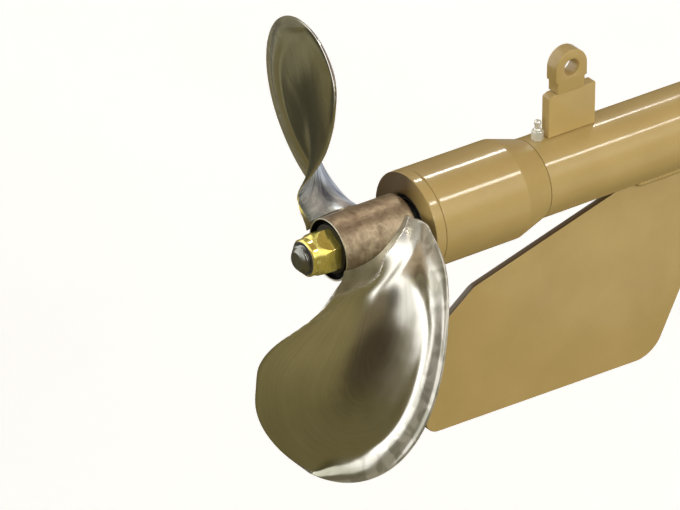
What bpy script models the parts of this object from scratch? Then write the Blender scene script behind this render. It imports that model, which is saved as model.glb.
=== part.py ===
"""Two-bladed swept propeller on the lower unit of a shallow-water boat drive.

Metres, +Z up, +X forward along the shaft. The origin is on the flat forward face of the
mounting flange, on its bolt circle and straight above the shaft. Every station along X is
measured aft from that face. Meshes are drawn about the shaft's axis, which SHAFT_Z places.
"""

import math

import bmesh
import bpy
from mathutils import Matrix, Vector

# Clearances
SEAT_GAP = 0.0003
BEARING_GAP = 0.0003

# Drive tube and its flange
TUBE_LENGTH = 0.222
TUBE_RADIUS = 0.0305
TUBE_WALL = 0.005
FLANGE_THICKNESS = 0.010
FLANGE_RADIUS = 0.058
FLANGE_BORE_RADIUS = 0.020
FLANGE_HOLE_RADIUS = 0.0045
FLANGE_HOLE_INSET = 0.0115
FLANGE_HOLE_COUNT = 4

# Bearing housing and its seal cap
CONE_LENGTH = 0.0253
BARREL_LENGTH = 0.0744
BARREL_RADIUS = 0.038
BARREL_BORE_RADIUS = 0.026
CAP_THICKNESS = 0.0086
CAP_EDGE = 0.0015
CAP_JOINT_EDGE = 0.0005
SEAL_RADIUS = 0.0215
SEAL_INSET = 0.0012
SEAL_THICKNESS = 0.006

# Shaft, bearings and wear sleeve
SHAFT_RADIUS = 0.0125
THREAD_RADIUS = 0.010
THREAD_CHAMFER = 0.003
SHAFT_INPUT_INSET = 0.016
COUPLING_RADIUS = 0.017
COUPLING_LENGTH = 0.030
BEARING_WIDTH = 0.015
BEARING_AFT_SETBACK = 0.004
BEARING_SPACING = 0.046
SLEEVE_RADIUS = 0.016

# Hub, nut and washer
HUB_CLEARANCE = 0.006
HUB_LENGTH = 0.0625
HUB_RADIUS = 0.0237
HUB_RECESS_RADIUS = 0.0222
HUB_RECESS_DEPTH = 0.005
HUB_EDGE = 0.001
WASHER_RADIUS = 0.0185
WASHER_THICKNESS = 0.003
NUT_ACROSS_FLATS = 0.030
NUT_HEX_LENGTH = 0.017
NUT_COLLAR_LENGTH = 0.006
NUT_COLLAR_RADIUS = 0.0140
NUT_CHAMFER = 0.008
NUT_CHAMFER_RADIUS = 0.0153
NUT_STEP = 0.0005
NUT_COLLAR_EDGE = 0.0010
NUT_SIDES = 6
INSERT_RADIUS = 0.0124
INSERT_LENGTH = 0.003
THREAD_PROUD = 0.006

# Propeller blades
TIP_RADIUS = 0.183
PITCH = 0.225
BLADE_AXIAL_OFFSET = 0.0305
BLADE_ANGLE = math.radians(59.0)
ROOT_THICKNESS = 0.0075
BODY_THICKNESS = 0.0045
EDGE_THICKNESS = 0.0022
ROOT_FLARE_HEIGHT = 0.016
AFT_FILLET = 0.0085
FORE_FILLET = 0.002
FILLET_END_SHARE = 0.75
TIP_FULLNESS = 4.0
TIP_RAKE = -0.0085
AFT_CUP_ROOT = 0.0192
AFT_CUP_TIP = 0.0048
FORE_CUP_ROOT = 0.0070
FORE_CUP_TIP = -0.0021
# At each share of the blade's height: half the chord, and how far its middle is swept
STATION_SHARES = (0.00, 0.06, 0.15, 0.35, 0.55, 0.75, 1.00)
STATION_HALF_CHORDS = (0.0328, 0.0430, 0.0580, 0.0843, 0.0944, 0.0992, 0.1106)
STATION_SWEEPS = (0.0072, 0.0030, -0.0062, -0.0345, -0.0773, -0.1239, -0.1933)
BLADE_ROWS = 26
BLADE_COLUMNS = 15
ROW_CROWDING = 1.7
TIP_ROW = 0.9999
ROOT_STRIPS = 6

# Skeg under the tube
SKEG_THICKNESS = 0.006
SKEG_DEPTH = 0.1851
SKEG_AFT_INSET = 0.0165
SKEG_NECK_INSET = 0.021
SKEG_NECK_DEPTH = 0.1029
SKEG_SHOULDER_INSET = 0.0592
SKEG_SHOULDER_DEPTH = 0.0730
SKEG_ROOT_INSET = 0.205
SKEG_ROOT_LENGTH = 0.100
SKEG_TOE_INSET = 0.228
SKEG_TOE_DEPTH = 0.1897
SKEG_CORNER = 0.012
SKEG_TOE_CORNER = 0.024
SKEG_WELD = 0.005

# Grease fitting on top of the tube
GREASE_INSET = 0.1170
GREASE_BASE_FLATS = 0.0079
GREASE_BASE_HEIGHT = 0.0075
GREASE_NECK_RADIUS = 0.0021
GREASE_HEAD_RADIUS = 0.0028
GREASE_HEIGHT = 0.0080
GREASE_FOOT_HEIGHT = 0.0008
GREASE_NECK_LOW = 0.0022
GREASE_NECK_HIGH = 0.0036
GREASE_HEAD_LENGTH = 0.0030
GREASE_TOP_EDGE = 0.0010
GREASE_TOP_RADIUS = 0.0015

# Trim lug and eye on top of the tube
LUG_INSET = 0.1240
LUG_LENGTH = 0.042
LUG_THICKNESS = 0.009
LUG_TOP = 0.0648
LUG_CHAMFER = 0.004
LUG_CHAMFER_DROP = 0.002
EYE_RADIUS = 0.014
EYE_BORE_RADIUS = 0.0065
EYE_THICKNESS = 0.012
EYE_CENTRE_HEIGHT = 0.0195
EYE_INSET = 0.0187
EYE_NECK_WIDTH = 0.0242
EYE_NECK_HEIGHT = 0.0095

ROUND_SEGMENTS = 64
SMALL_SEGMENTS = 24

# Stations, forward to aft
FLANGE_AFT_X = -FLANGE_THICKNESS
CONE_FORE_X = FLANGE_AFT_X - TUBE_LENGTH
BARREL_FORE_X = CONE_FORE_X - CONE_LENGTH
CAP_FORE_X = BARREL_FORE_X - BARREL_LENGTH
CAP_AFT_X = CAP_FORE_X - CAP_THICKNESS
HUB_FORE_X = CAP_AFT_X - HUB_CLEARANCE
HUB_AFT_X = HUB_FORE_X - HUB_LENGTH
RECESS_FLOOR_X = HUB_AFT_X + HUB_RECESS_DEPTH
WASHER_FORE_X = RECESS_FLOOR_X - SEAT_GAP
WASHER_AFT_X = WASHER_FORE_X - WASHER_THICKNESS
NUT_FORE_X = WASHER_AFT_X - SEAT_GAP
NUT_HEX_AFT_X = NUT_FORE_X - NUT_HEX_LENGTH
NUT_AFT_X = NUT_HEX_AFT_X - NUT_COLLAR_LENGTH
THREAD_AFT_X = NUT_AFT_X - THREAD_PROUD
TUBE_BORE_RADIUS = TUBE_RADIUS - TUBE_WALL
FLANGE_CIRCLE_RADIUS = FLANGE_RADIUS - FLANGE_HOLE_INSET
SHAFT_Z = -FLANGE_CIRCLE_RADIUS


def clear_scene():
    for obj in list(bpy.data.objects):
        bpy.data.objects.remove(obj, do_unlink=True)


def make_material(name, colour, metallic, roughness):
    material = bpy.data.materials.new(name)
    material.use_nodes = True
    shader = material.node_tree.nodes["Principled BSDF"]
    shader.inputs["Base Color"].default_value = (*colour, 1.0)
    shader.inputs["Metallic"].default_value = metallic
    shader.inputs["Roughness"].default_value = roughness
    return material


def add_object(name, mesh, material, parent=None):
    """Gives the mesh an object of its own, on the shaft's axis or on the pivot that is there."""
    mesh.name = name
    mesh.materials.clear()
    mesh.materials.append(material)
    obj = bpy.data.objects.new(name, mesh)
    bpy.context.scene.collection.objects.link(obj)
    if parent is None:
        obj.location.z = SHAFT_Z
    obj.parent = parent
    return obj


def mesh_from(bm, smooth_angle=40.0):
    bmesh.ops.recalc_face_normals(bm, faces=bm.faces)
    mesh = bpy.data.meshes.new("mesh")
    bm.to_mesh(mesh)
    bm.free()
    mesh.shade_smooth()
    mesh.set_sharp_from_angle(angle=math.radians(smooth_angle))
    return mesh


def turned(profile, segments=ROUND_SEGMENTS):
    """A closed body turned about the X axis from a closed loop of (x, radius) points.

    Points at radius 0 become one pole each, so that a solid shaft closes at its ends.
    """
    bm = bmesh.new()
    rings = []
    for x, radius in profile:
        if radius <= 0.0:
            rings.append([bm.verts.new((x, 0.0, 0.0))])
            continue
        ring = []
        for k in range(segments):
            angle = math.tau * k / segments
            ring.append(bm.verts.new((x, radius * math.sin(angle), radius * math.cos(angle))))
        rings.append(ring)
    for here, there in zip(rings, rings[1:] + rings[:1]):
        join_rings(bm, here, there, segments)
    return bm


def join_rings(bm, here, there, segments):
    for k in range(segments):
        nxt = (k + 1) % segments
        if len(here) == 1 and len(there) == 1:
            return
        if len(here) == 1:
            bm.faces.new((here[0], there[k], there[nxt]))
        elif len(there) == 1:
            bm.faces.new((here[k], there[0], here[nxt]))
        else:
            bm.faces.new((here[k], there[k], there[nxt], here[nxt]))


def ring_profile(x_aft, x_fore, inner, outer):
    return [(x_aft, inner), (x_aft, outer), (x_fore, outer), (x_fore, inner)]


def prism(outline, low, high, to_world):
    """A closed body from a flat outline, run from low to high along the outline's normal."""
    bm = bmesh.new()
    near = [bm.verts.new(to_world(u, v, low)) for u, v in outline]
    far = [bm.verts.new(to_world(u, v, high)) for u, v in outline]
    bm.faces.new(near)
    bm.faces.new(far)
    count = len(outline)
    for k in range(count):
        nxt = (k + 1) % count
        bm.faces.new((near[k], near[nxt], far[nxt], far[k]))
    return bm


def upright(x, z, y):
    """An outline drawn in the fore-and-aft upright plane."""
    return Vector((x, y, z))


def crosswise(y, z, x):
    """An outline drawn across the shaft."""
    return Vector((x, y, z))


def rounded(corners, radii, steps=6):
    """The outline with each corner turned into an arc of its own radius."""
    points = []
    count = len(corners)
    for k, radius in enumerate(radii):
        corner = Vector(corners[k])
        before = (Vector(corners[k - 1]) - corner).normalized()
        after = (Vector(corners[(k + 1) % count]) - corner).normalized()
        if radius <= 0.0:
            points.append(tuple(corner))
            continue
        half = before.angle(after) / 2.0
        centre = corner + (before + after).normalized() * radius / math.sin(half)
        start = corner + before * radius / math.tan(half) - centre
        end = corner + after * radius / math.tan(half) - centre
        for step in range(steps + 1):
            share = step / steps
            blend = start.slerp(end, share)
            points.append(tuple(centre + blend * radius / blend.length))
    return points


def cut(obj, cutter_mesh, name):
    """Cuts a shape out of the object with an exact Boolean, and keeps the cutter as a guide."""
    cutter = bpy.data.objects.new(name, cutter_mesh)
    bpy.context.scene.collection.objects.link(cutter)
    cutter.location = obj.location
    cutter.hide_render = True
    cutter.display_type = "WIRE"
    modifier = obj.modifiers.new(name, "BOOLEAN")
    modifier.operation = "DIFFERENCE"
    modifier.solver = "EXACT"
    modifier.object = cutter


def shaft_profile():
    """The propeller shaft, from its threaded end to the coupling inside the tube."""
    coupling_fore_x = -SHAFT_INPUT_INSET
    coupling_aft_x = coupling_fore_x - COUPLING_LENGTH
    seat_x = HUB_FORE_X - HUB_LENGTH / 2.0
    return [
        (THREAD_AFT_X, 0.0),
        (THREAD_AFT_X, THREAD_RADIUS - THREAD_CHAMFER),
        (THREAD_AFT_X + THREAD_CHAMFER, THREAD_RADIUS),
        (seat_x, THREAD_RADIUS),
        (seat_x + (SHAFT_RADIUS - THREAD_RADIUS), SHAFT_RADIUS),
        (coupling_aft_x, SHAFT_RADIUS),
        (coupling_aft_x, COUPLING_RADIUS),
        (coupling_fore_x, COUPLING_RADIUS),
        (coupling_fore_x, 0.0),
    ]


def hub_profile():
    seat_x = HUB_FORE_X - HUB_LENGTH / 2.0
    step = SHAFT_RADIUS - THREAD_RADIUS
    return [
        (RECESS_FLOOR_X, THREAD_RADIUS + SEAT_GAP),
        (RECESS_FLOOR_X, HUB_RECESS_RADIUS),
        (HUB_AFT_X, HUB_RECESS_RADIUS),
        (HUB_AFT_X, HUB_RADIUS - HUB_EDGE),
        (HUB_AFT_X + HUB_EDGE, HUB_RADIUS),
        (HUB_FORE_X - HUB_EDGE, HUB_RADIUS),
        (HUB_FORE_X, HUB_RADIUS - HUB_EDGE),
        (HUB_FORE_X, SHAFT_RADIUS + SEAT_GAP),
        (seat_x + step - SEAT_GAP, SHAFT_RADIUS + SEAT_GAP),
        (seat_x - SEAT_GAP, THREAD_RADIUS + SEAT_GAP),
    ]


def blade_law(height):
    """Half the chord and the sweep of its middle at a share of the blade's height."""
    for k in range(len(STATION_SHARES) - 1):
        if height <= STATION_SHARES[k + 1]:
            break
    half_chord = smooth_between(STATION_SHARES, STATION_HALF_CHORDS, height, k)
    sweep = smooth_between(STATION_SHARES, STATION_SWEEPS, height, k)
    return half_chord, sweep


def smooth_between(shares, values, height, k):
    """Cubic Hermite value in span k, with slopes taken from the neighbouring stations."""
    def slope(i):
        low = max(i - 1, 0)
        high = min(i + 1, len(shares) - 1)
        return (values[high] - values[low]) / (shares[high] - shares[low])

    span = shares[k + 1] - shares[k]
    t = (height - shares[k]) / span
    rise = (
        (2 * t**3 - 3 * t**2 + 1) * values[k]
        + (t**3 - 2 * t**2 + t) * span * slope(k)
        + (3 * t**2 - 2 * t**3) * values[k + 1]
        + (t**3 - t**2) * span * slope(k + 1)
    )
    return rise


def blade_point(height, across, share):
    """A point of the blade, on the cylinder of its own radius.

    height runs from 0 at the hub to 1 at the tip, across from -1 at the aft edge to 1 at the
    forward edge, and share from 0 on the forward face to 1 on the aft face.
    """
    root_radius = HUB_RADIUS + SEAT_GAP
    radius = root_radius + (TIP_RADIUS - root_radius) * height
    half_chord, sweep = blade_law(height)
    closing = math.sqrt(max(1.0 - height**TIP_FULLNESS, 0.0))
    along = sweep + half_chord * closing * across
    if across < 0.0:
        cup = AFT_CUP_ROOT + (AFT_CUP_TIP - AFT_CUP_ROOT) * height
    else:
        cup = FORE_CUP_ROOT + (FORE_CUP_TIP - FORE_CUP_ROOT) * height
    middle = cup * closing * across**2
    aft_face = middle + half_thickness(radius - root_radius, across, AFT_FILLET)
    fore_face = middle - half_thickness(radius - root_radius, across, FORE_FILLET)
    offset = fore_face + (aft_face - fore_face) * share
    helix = math.atan2(PITCH, math.tau * radius)
    angle = BLADE_ANGLE + (along * math.cos(helix) + offset * math.sin(helix)) / radius
    hub_middle_x = HUB_FORE_X - BLADE_AXIAL_OFFSET
    rake = TIP_RAKE * height**2
    x = hub_middle_x + rake + along * math.sin(helix) - offset * math.cos(helix)
    return Vector((x, radius * math.sin(angle), radius * math.cos(angle)))


def half_thickness(height_above_hub, across, fillet):
    """Thin at the edges, thicker in the body, and run out to the hub in a ground fillet."""
    flare = max(1.0 - height_above_hub / ROOT_FLARE_HEIGHT, 0.0) ** 2
    body = BODY_THICKNESS + (ROOT_THICKNESS - BODY_THICKNESS) * flare
    plate = EDGE_THICKNESS + (body - EDGE_THICKNESS) * (1.0 - across**4)
    return plate / 2.0 + fillet * flare * (1.0 - (1.0 - FILLET_END_SHARE) * across**2)


def blade_rows():
    """Shares of the height, closer together at the hub's flare and at the round tip."""
    shares = []
    for k in range(BLADE_ROWS):
        even = k / (BLADE_ROWS - 1)
        shares.append(1.0 - (1.0 - even) ** ROW_CROWDING)
    shares[-1] = TIP_ROW
    return shares


def add_grid(bm, rows):
    for low, high in zip(rows, rows[1:]):
        for k in range(len(low) - 1):
            bm.faces.new((low[k], low[k + 1], high[k + 1], high[k]))


def blade_mesh():
    """Both faces, the edge all round, and a root cut to the hub's own curve."""
    bm = bmesh.new()
    across = [math.sin(math.pi * (k / (BLADE_COLUMNS - 1) - 0.5)) for k in range(BLADE_COLUMNS)]

    def row_of(height, share):
        return [bm.verts.new(blade_point(height, place, share)) for place in across]

    aft = [row_of(height, 1.0) for height in blade_rows()]
    fore = [row_of(height, 0.0) for height in blade_rows()]
    between = [row_of(0.0, k / ROOT_STRIPS) for k in range(1, ROOT_STRIPS)]
    root = [fore[0], *between, aft[0]]
    for rows in (aft, fore, root, [aft[-1], fore[-1]]):
        add_grid(bm, rows)
    for column in (0, BLADE_COLUMNS - 1):
        foot = [strip[column] for strip in root]
        bm.faces.new((*foot, aft[1][column], fore[1][column]))
        add_grid(bm, [[aft[k][column], fore[k][column]] for k in range(1, BLADE_ROWS)])
    return mesh_from(bm, 60.0)


def hexagon(across_flats):
    """Corners of a hexagon, the first of them straight up."""
    corner = across_flats / math.sqrt(3.0)
    return [
        (corner * math.sin(math.tau * k / NUT_SIDES), corner * math.cos(math.tau * k / NUT_SIDES))
        for k in range(NUT_SIDES)
    ]


def nut_mesh():
    """A locknut: a hexagon blended into a round collar, with a clear thread bore."""
    angles = [math.tau * k / SMALL_SEGMENTS for k in range(SMALL_SEGMENTS)]
    side = math.tau / NUT_SIDES
    hexagonal = [
        NUT_ACROSS_FLATS / 2.0 / math.cos(angle % side - side / 2.0) for angle in angles
    ]
    chamfered = [min(radius, NUT_CHAMFER_RADIUS) for radius in hexagonal]
    collar = [NUT_COLLAR_RADIUS] * SMALL_SEGMENTS
    collar_end = [NUT_COLLAR_RADIUS - NUT_COLLAR_EDGE] * SMALL_SEGMENTS
    bore = [THREAD_RADIUS + SEAT_GAP] * SMALL_SEGMENTS
    recess = [INSERT_RADIUS + SEAT_GAP] * SMALL_SEGMENTS
    floor_x = NUT_AFT_X + INSERT_LENGTH + SEAT_GAP
    loops = [
        (NUT_FORE_X, bore),
        (NUT_FORE_X, hexagonal),
        (NUT_HEX_AFT_X + NUT_CHAMFER, hexagonal),
        (NUT_HEX_AFT_X, chamfered),
        (NUT_HEX_AFT_X - NUT_STEP, collar),
        (NUT_AFT_X + NUT_COLLAR_EDGE, collar),
        (NUT_AFT_X, collar_end),
        (NUT_AFT_X, recess),
        (floor_x, recess),
        (floor_x, bore),
    ]
    bm = bmesh.new()
    rings = [
        [
            bm.verts.new((x, radius * math.sin(angle), radius * math.cos(angle)))
            for angle, radius in zip(angles, radii)
        ]
        for x, radii in loops
    ]
    for here, there in zip(rings, rings[1:] + rings[:1]):
        join_rings(bm, here, there, SMALL_SEGMENTS)
    return mesh_from(bm, 30.0)


def housing_profile():
    return [
        (CAP_FORE_X + SEAT_GAP, BARREL_BORE_RADIUS),
        (CAP_FORE_X + SEAT_GAP, BARREL_RADIUS - CAP_JOINT_EDGE),
        (CAP_FORE_X + SEAT_GAP + CAP_JOINT_EDGE, BARREL_RADIUS),
        (BARREL_FORE_X, BARREL_RADIUS),
        (CONE_FORE_X - SEAT_GAP, TUBE_RADIUS),
        (CONE_FORE_X - SEAT_GAP, TUBE_BORE_RADIUS),
        (BARREL_FORE_X, BARREL_BORE_RADIUS),
    ]


def cap_profile():
    shaft_bore = SLEEVE_RADIUS + 2.0 * SEAT_GAP
    seal_seat_x = CAP_AFT_X + SEAL_INSET + SEAL_THICKNESS + SEAT_GAP
    return [
        (CAP_AFT_X, SEAL_RADIUS),
        (CAP_AFT_X, BARREL_RADIUS - CAP_EDGE),
        (CAP_AFT_X + CAP_EDGE, BARREL_RADIUS),
        (CAP_FORE_X - CAP_JOINT_EDGE, BARREL_RADIUS),
        (CAP_FORE_X, BARREL_RADIUS - CAP_JOINT_EDGE),
        (CAP_FORE_X, shaft_bore),
        (seal_seat_x, shaft_bore),
        (seal_seat_x, SEAL_RADIUS),
    ]


def seal_profile():
    aft = CAP_AFT_X + SEAL_INSET
    outer = SEAL_RADIUS - SEAT_GAP
    return ring_profile(aft, aft + SEAL_THICKNESS, SLEEVE_RADIUS + SEAT_GAP, outer)


def sleeve_profile():
    """The hard ring that the seal runs on, held between the hub and the aft bearing."""
    aft = HUB_FORE_X + SEAT_GAP
    fore = CAP_FORE_X + BEARING_AFT_SETBACK
    return ring_profile(aft, fore, SHAFT_RADIUS + SEAT_GAP, SLEEVE_RADIUS)


def bearing_profile(aft):
    inner = SHAFT_RADIUS + BEARING_GAP
    outer = BARREL_BORE_RADIUS - SEAT_GAP
    return ring_profile(aft, aft + BEARING_WIDTH, inner, outer)


def tube_profile():
    return ring_profile(CONE_FORE_X, FLANGE_AFT_X - SEAT_GAP, TUBE_BORE_RADIUS, TUBE_RADIUS)


def flange_profile():
    return [
        (0.0, FLANGE_BORE_RADIUS),
        (0.0, FLANGE_RADIUS),
        (FLANGE_AFT_X, FLANGE_RADIUS),
        (FLANGE_AFT_X, FLANGE_BORE_RADIUS),
    ]


def flange_hole_cutters():
    """Bolt holes on a circle just inside the flange's rim."""
    bm = bmesh.new()
    for k in range(FLANGE_HOLE_COUNT):
        angle = math.tau * (k + 0.5) / FLANGE_HOLE_COUNT
        y = FLANGE_CIRCLE_RADIUS * math.sin(angle)
        z = FLANGE_CIRCLE_RADIUS * math.cos(angle)
        place = Matrix.Translation((-FLANGE_THICKNESS / 2.0, y, z))
        bmesh.ops.create_cone(
            bm,
            cap_ends=True,
            segments=SMALL_SEGMENTS,
            radius1=FLANGE_HOLE_RADIUS,
            radius2=FLANGE_HOLE_RADIUS,
            depth=FLANGE_THICKNESS * 2.0,
            matrix=place @ Matrix.Rotation(math.pi / 2.0, 4, "Y"),
        )
    return mesh_from(bm)


def skeg_outline():
    """The skeg's plate, as (x, z) corners from its root on the tube round by the aft end."""
    top = -(TUBE_RADIUS + SEAT_GAP)
    root_aft = CAP_AFT_X + SKEG_ROOT_INSET
    root_fore = root_aft + SKEG_ROOT_LENGTH
    corners = [
        (root_fore, top),
        (root_aft, top),
        (CAP_AFT_X + SKEG_SHOULDER_INSET, -SKEG_SHOULDER_DEPTH),
        (CAP_AFT_X + SKEG_NECK_INSET, -SKEG_NECK_DEPTH),
        (CAP_AFT_X + SKEG_AFT_INSET, -SKEG_DEPTH),
        (CAP_AFT_X + SKEG_TOE_INSET, -SKEG_TOE_DEPTH),
    ]
    radii = [0.0, 0.0, SKEG_CORNER, SKEG_CORNER, SKEG_CORNER, SKEG_TOE_CORNER]
    return rounded(corners, radii)


def skeg_weld_outline(side):
    """The weld's section in the corner between the tube and one face of the skeg."""
    near = SKEG_THICKNESS / 2.0 + SEAT_GAP
    far = near + SKEG_WELD
    seat = TUBE_RADIUS + SEAT_GAP
    section = [(near, -math.sqrt(seat**2 - near**2) - SKEG_WELD)]
    for share in (0.0, 0.5, 1.0):
        y = near + (far - near) * share
        section.append((y, -math.sqrt(seat**2 - y**2)))
    return [(side * y, z) for y, z in section]


def lug_outline():
    """The trim lug's upright plate, standing on the tube, with its aft corner cut off."""
    aft = CAP_AFT_X + LUG_INSET
    fore = aft + LUG_LENGTH
    foot = TUBE_RADIUS + SEAT_GAP
    corners = [
        (aft, foot),
        (fore, foot),
        (fore, LUG_TOP),
        (aft + LUG_CHAMFER, LUG_TOP),
        (aft, LUG_TOP - LUG_CHAMFER_DROP),
    ]
    return corners


def eye_outline():
    """The eye on the lug: a straight-sided head with a round top, on a slightly narrower neck."""
    centre_x = CAP_AFT_X + LUG_INSET + EYE_INSET
    centre_z = LUG_TOP + EYE_CENTRE_HEIGHT
    half_neck = EYE_NECK_WIDTH / 2.0
    foot = LUG_TOP + SEAT_GAP
    shoulder = LUG_TOP + EYE_NECK_HEIGHT
    points = [
        (centre_x - EYE_RADIUS, shoulder),
        (centre_x - half_neck, shoulder),
        (centre_x - half_neck, foot),
        (centre_x + half_neck, foot),
        (centre_x + half_neck, shoulder),
        (centre_x + EYE_RADIUS, shoulder),
    ]
    for k in range(SMALL_SEGMENTS + 1):
        angle = math.pi * k / SMALL_SEGMENTS
        points.append((centre_x + EYE_RADIUS * math.cos(angle), centre_z + EYE_RADIUS * math.sin(angle)))
    return points


def eye_bore_cutter():
    bm = bmesh.new()
    place = Matrix.Translation(
        (CAP_AFT_X + LUG_INSET + EYE_INSET, 0.0, LUG_TOP + EYE_CENTRE_HEIGHT)
    )
    bmesh.ops.create_cone(
        bm,
        cap_ends=True,
        segments=SMALL_SEGMENTS,
        radius1=EYE_BORE_RADIUS,
        radius2=EYE_BORE_RADIUS,
        depth=EYE_THICKNESS * 2.0,
        matrix=place @ Matrix.Rotation(math.pi / 2.0, 4, "X"),
    )
    return mesh_from(bm)


def grease_base():
    foot = TUBE_RADIUS + SEAT_GAP
    outline = [(x + CAP_AFT_X + GREASE_INSET, y) for x, y in hexagon(GREASE_BASE_FLATS)]
    return prism(outline, foot, foot + GREASE_BASE_HEIGHT, lambda x, y, z: Vector((x, y, z)))


def grease_head_profile():
    """The nipple as (height, radius): a neck and a ball head with a flat top."""
    return [
        (0.0, 0.0),
        (0.0, GREASE_HEAD_RADIUS),
        (GREASE_FOOT_HEIGHT, GREASE_HEAD_RADIUS),
        (GREASE_NECK_LOW, GREASE_NECK_RADIUS),
        (GREASE_NECK_HIGH, GREASE_NECK_RADIUS),
        (GREASE_HEIGHT - GREASE_HEAD_LENGTH, GREASE_HEAD_RADIUS),
        (GREASE_HEIGHT - GREASE_TOP_EDGE, GREASE_HEAD_RADIUS),
        (GREASE_HEIGHT, GREASE_TOP_RADIUS),
        (GREASE_HEIGHT, 0.0),
    ]


def grease_nipple():
    bm = turned(grease_head_profile(), SMALL_SEGMENTS)
    upward = Matrix.Rotation(-math.pi / 2.0, 4, "Y")
    foot = TUBE_RADIUS + GREASE_BASE_HEIGHT + 2.0 * SEAT_GAP
    place = Matrix.Translation((CAP_AFT_X + GREASE_INSET, 0.0, foot))
    bmesh.ops.transform(bm, matrix=place @ upward, verts=bm.verts)
    return bm


def build_propeller(finish):
    """Everything that turns, parented to an empty on the shaft's axis."""
    pivot = bpy.data.objects.new("propeller_pivot", None)
    bpy.context.scene.collection.objects.link(pivot)
    pivot.location.z = SHAFT_Z
    add_object("prop_shaft", mesh_from(turned(shaft_profile())), finish["steel"], pivot)
    add_object("prop_hub", mesh_from(turned(hub_profile())), finish["hub"], pivot)
    blade = blade_mesh()
    add_object("blade_upper", blade, finish["polished"], pivot)
    lower = add_object("blade_lower", blade.copy(), finish["polished"], pivot)
    lower.rotation_euler.x = math.pi
    washer = ring_profile(WASHER_AFT_X, WASHER_FORE_X, THREAD_RADIUS + SEAT_GAP, WASHER_RADIUS)
    add_object("prop_washer", mesh_from(turned(washer)), finish["dark"], pivot)
    add_object("lock_nut", nut_mesh(), finish["brass"], pivot)
    insert_fore_x = NUT_AFT_X + INSERT_LENGTH
    insert = ring_profile(NUT_AFT_X, insert_fore_x, THREAD_RADIUS + SEAT_GAP, INSERT_RADIUS)
    add_object("nut_insert", mesh_from(turned(insert)), finish["dark"], pivot)
    add_object("wear_sleeve", mesh_from(turned(sleeve_profile())), finish["steel"], pivot)
    return pivot


def build_housing(finish):
    add_object("seal_cap", mesh_from(turned(cap_profile())), finish["paint"])
    add_object("shaft_seal", mesh_from(turned(seal_profile())), finish["rubber"])
    add_object("bearing_housing", mesh_from(turned(housing_profile())), finish["paint"])
    aft = CAP_FORE_X + SEAT_GAP + BEARING_AFT_SETBACK
    add_object("aft_bearing", mesh_from(turned(bearing_profile(aft))), finish["steel"])
    fore = aft + BEARING_SPACING
    add_object("fore_bearing", mesh_from(turned(bearing_profile(fore))), finish["steel"])


def build_tube(finish):
    add_object("drive_tube", mesh_from(turned(tube_profile())), finish["paint"])
    flange = add_object("mounting_flange", mesh_from(turned(flange_profile())), finish["paint"])
    cut(flange, flange_hole_cutters(), "flange_holes")


def build_skeg(finish):
    half = SKEG_THICKNESS / 2.0
    plate = prism(skeg_outline(), -half, half, upright)
    add_object("skeg_plate", mesh_from(plate), finish["paint"])
    weld_aft = CAP_AFT_X + SKEG_ROOT_INSET
    weld_fore = weld_aft + SKEG_ROOT_LENGTH
    for name, side in (("skeg_weld_port", 1), ("skeg_weld_starboard", -1)):
        bead = prism(skeg_weld_outline(side), weld_aft, weld_fore, crosswise)
        add_object(name, mesh_from(bead), finish["paint"])


def build_top_fittings(finish):
    add_object("grease_base", mesh_from(grease_base()), finish["steel"])
    add_object("grease_nipple", mesh_from(grease_nipple()), finish["steel"])
    half = LUG_THICKNESS / 2.0
    add_object("trim_lug", mesh_from(prism(lug_outline(), -half, half, upright)), finish["paint"])
    half = EYE_THICKNESS / 2.0
    eye = add_object("trim_eye", mesh_from(prism(eye_outline(), -half, half, upright)), finish["paint"])
    cut(eye, eye_bore_cutter(), "trim_eye_bore")


def main():
    clear_scene()
    finish = {
        "polished": make_material("polished_stainless", (0.62, 0.60, 0.55), 1.0, 0.16),
        "hub": make_material("linished_hub", (0.36, 0.27, 0.20), 0.9, 0.42),
        "steel": make_material("machined_steel", (0.45, 0.45, 0.46), 1.0, 0.30),
        "brass": make_material("brass_plated", (0.78, 0.60, 0.20), 1.0, 0.25),
        "dark": make_material("dark_washer", (0.03, 0.03, 0.03), 0.3, 0.5),
        "paint": make_material("tan_paint", (0.52, 0.38, 0.20), 0.0, 0.35),
        "rubber": make_material("seal_rubber", (0.02, 0.02, 0.02), 0.0, 0.6),
    }
    build_propeller(finish)
    build_housing(finish)
    build_tube(finish)
    build_skeg(finish)
    build_top_fittings(finish)


main()
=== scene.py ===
# %% [markdown]
# # A two-bladed boat propeller on its lower unit
# The real object is the back end of a shallow-water boat drive: a painted steel tube and
# bearing housing, a skeg under it, and a polished two-bladed propeller held by a plated nut.
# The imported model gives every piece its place. Here each piece is modelled again with the
# detail that the eye looks for, and gets a finish of its own.

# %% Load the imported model
import math

import bpy
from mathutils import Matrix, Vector, kdtree


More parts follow.
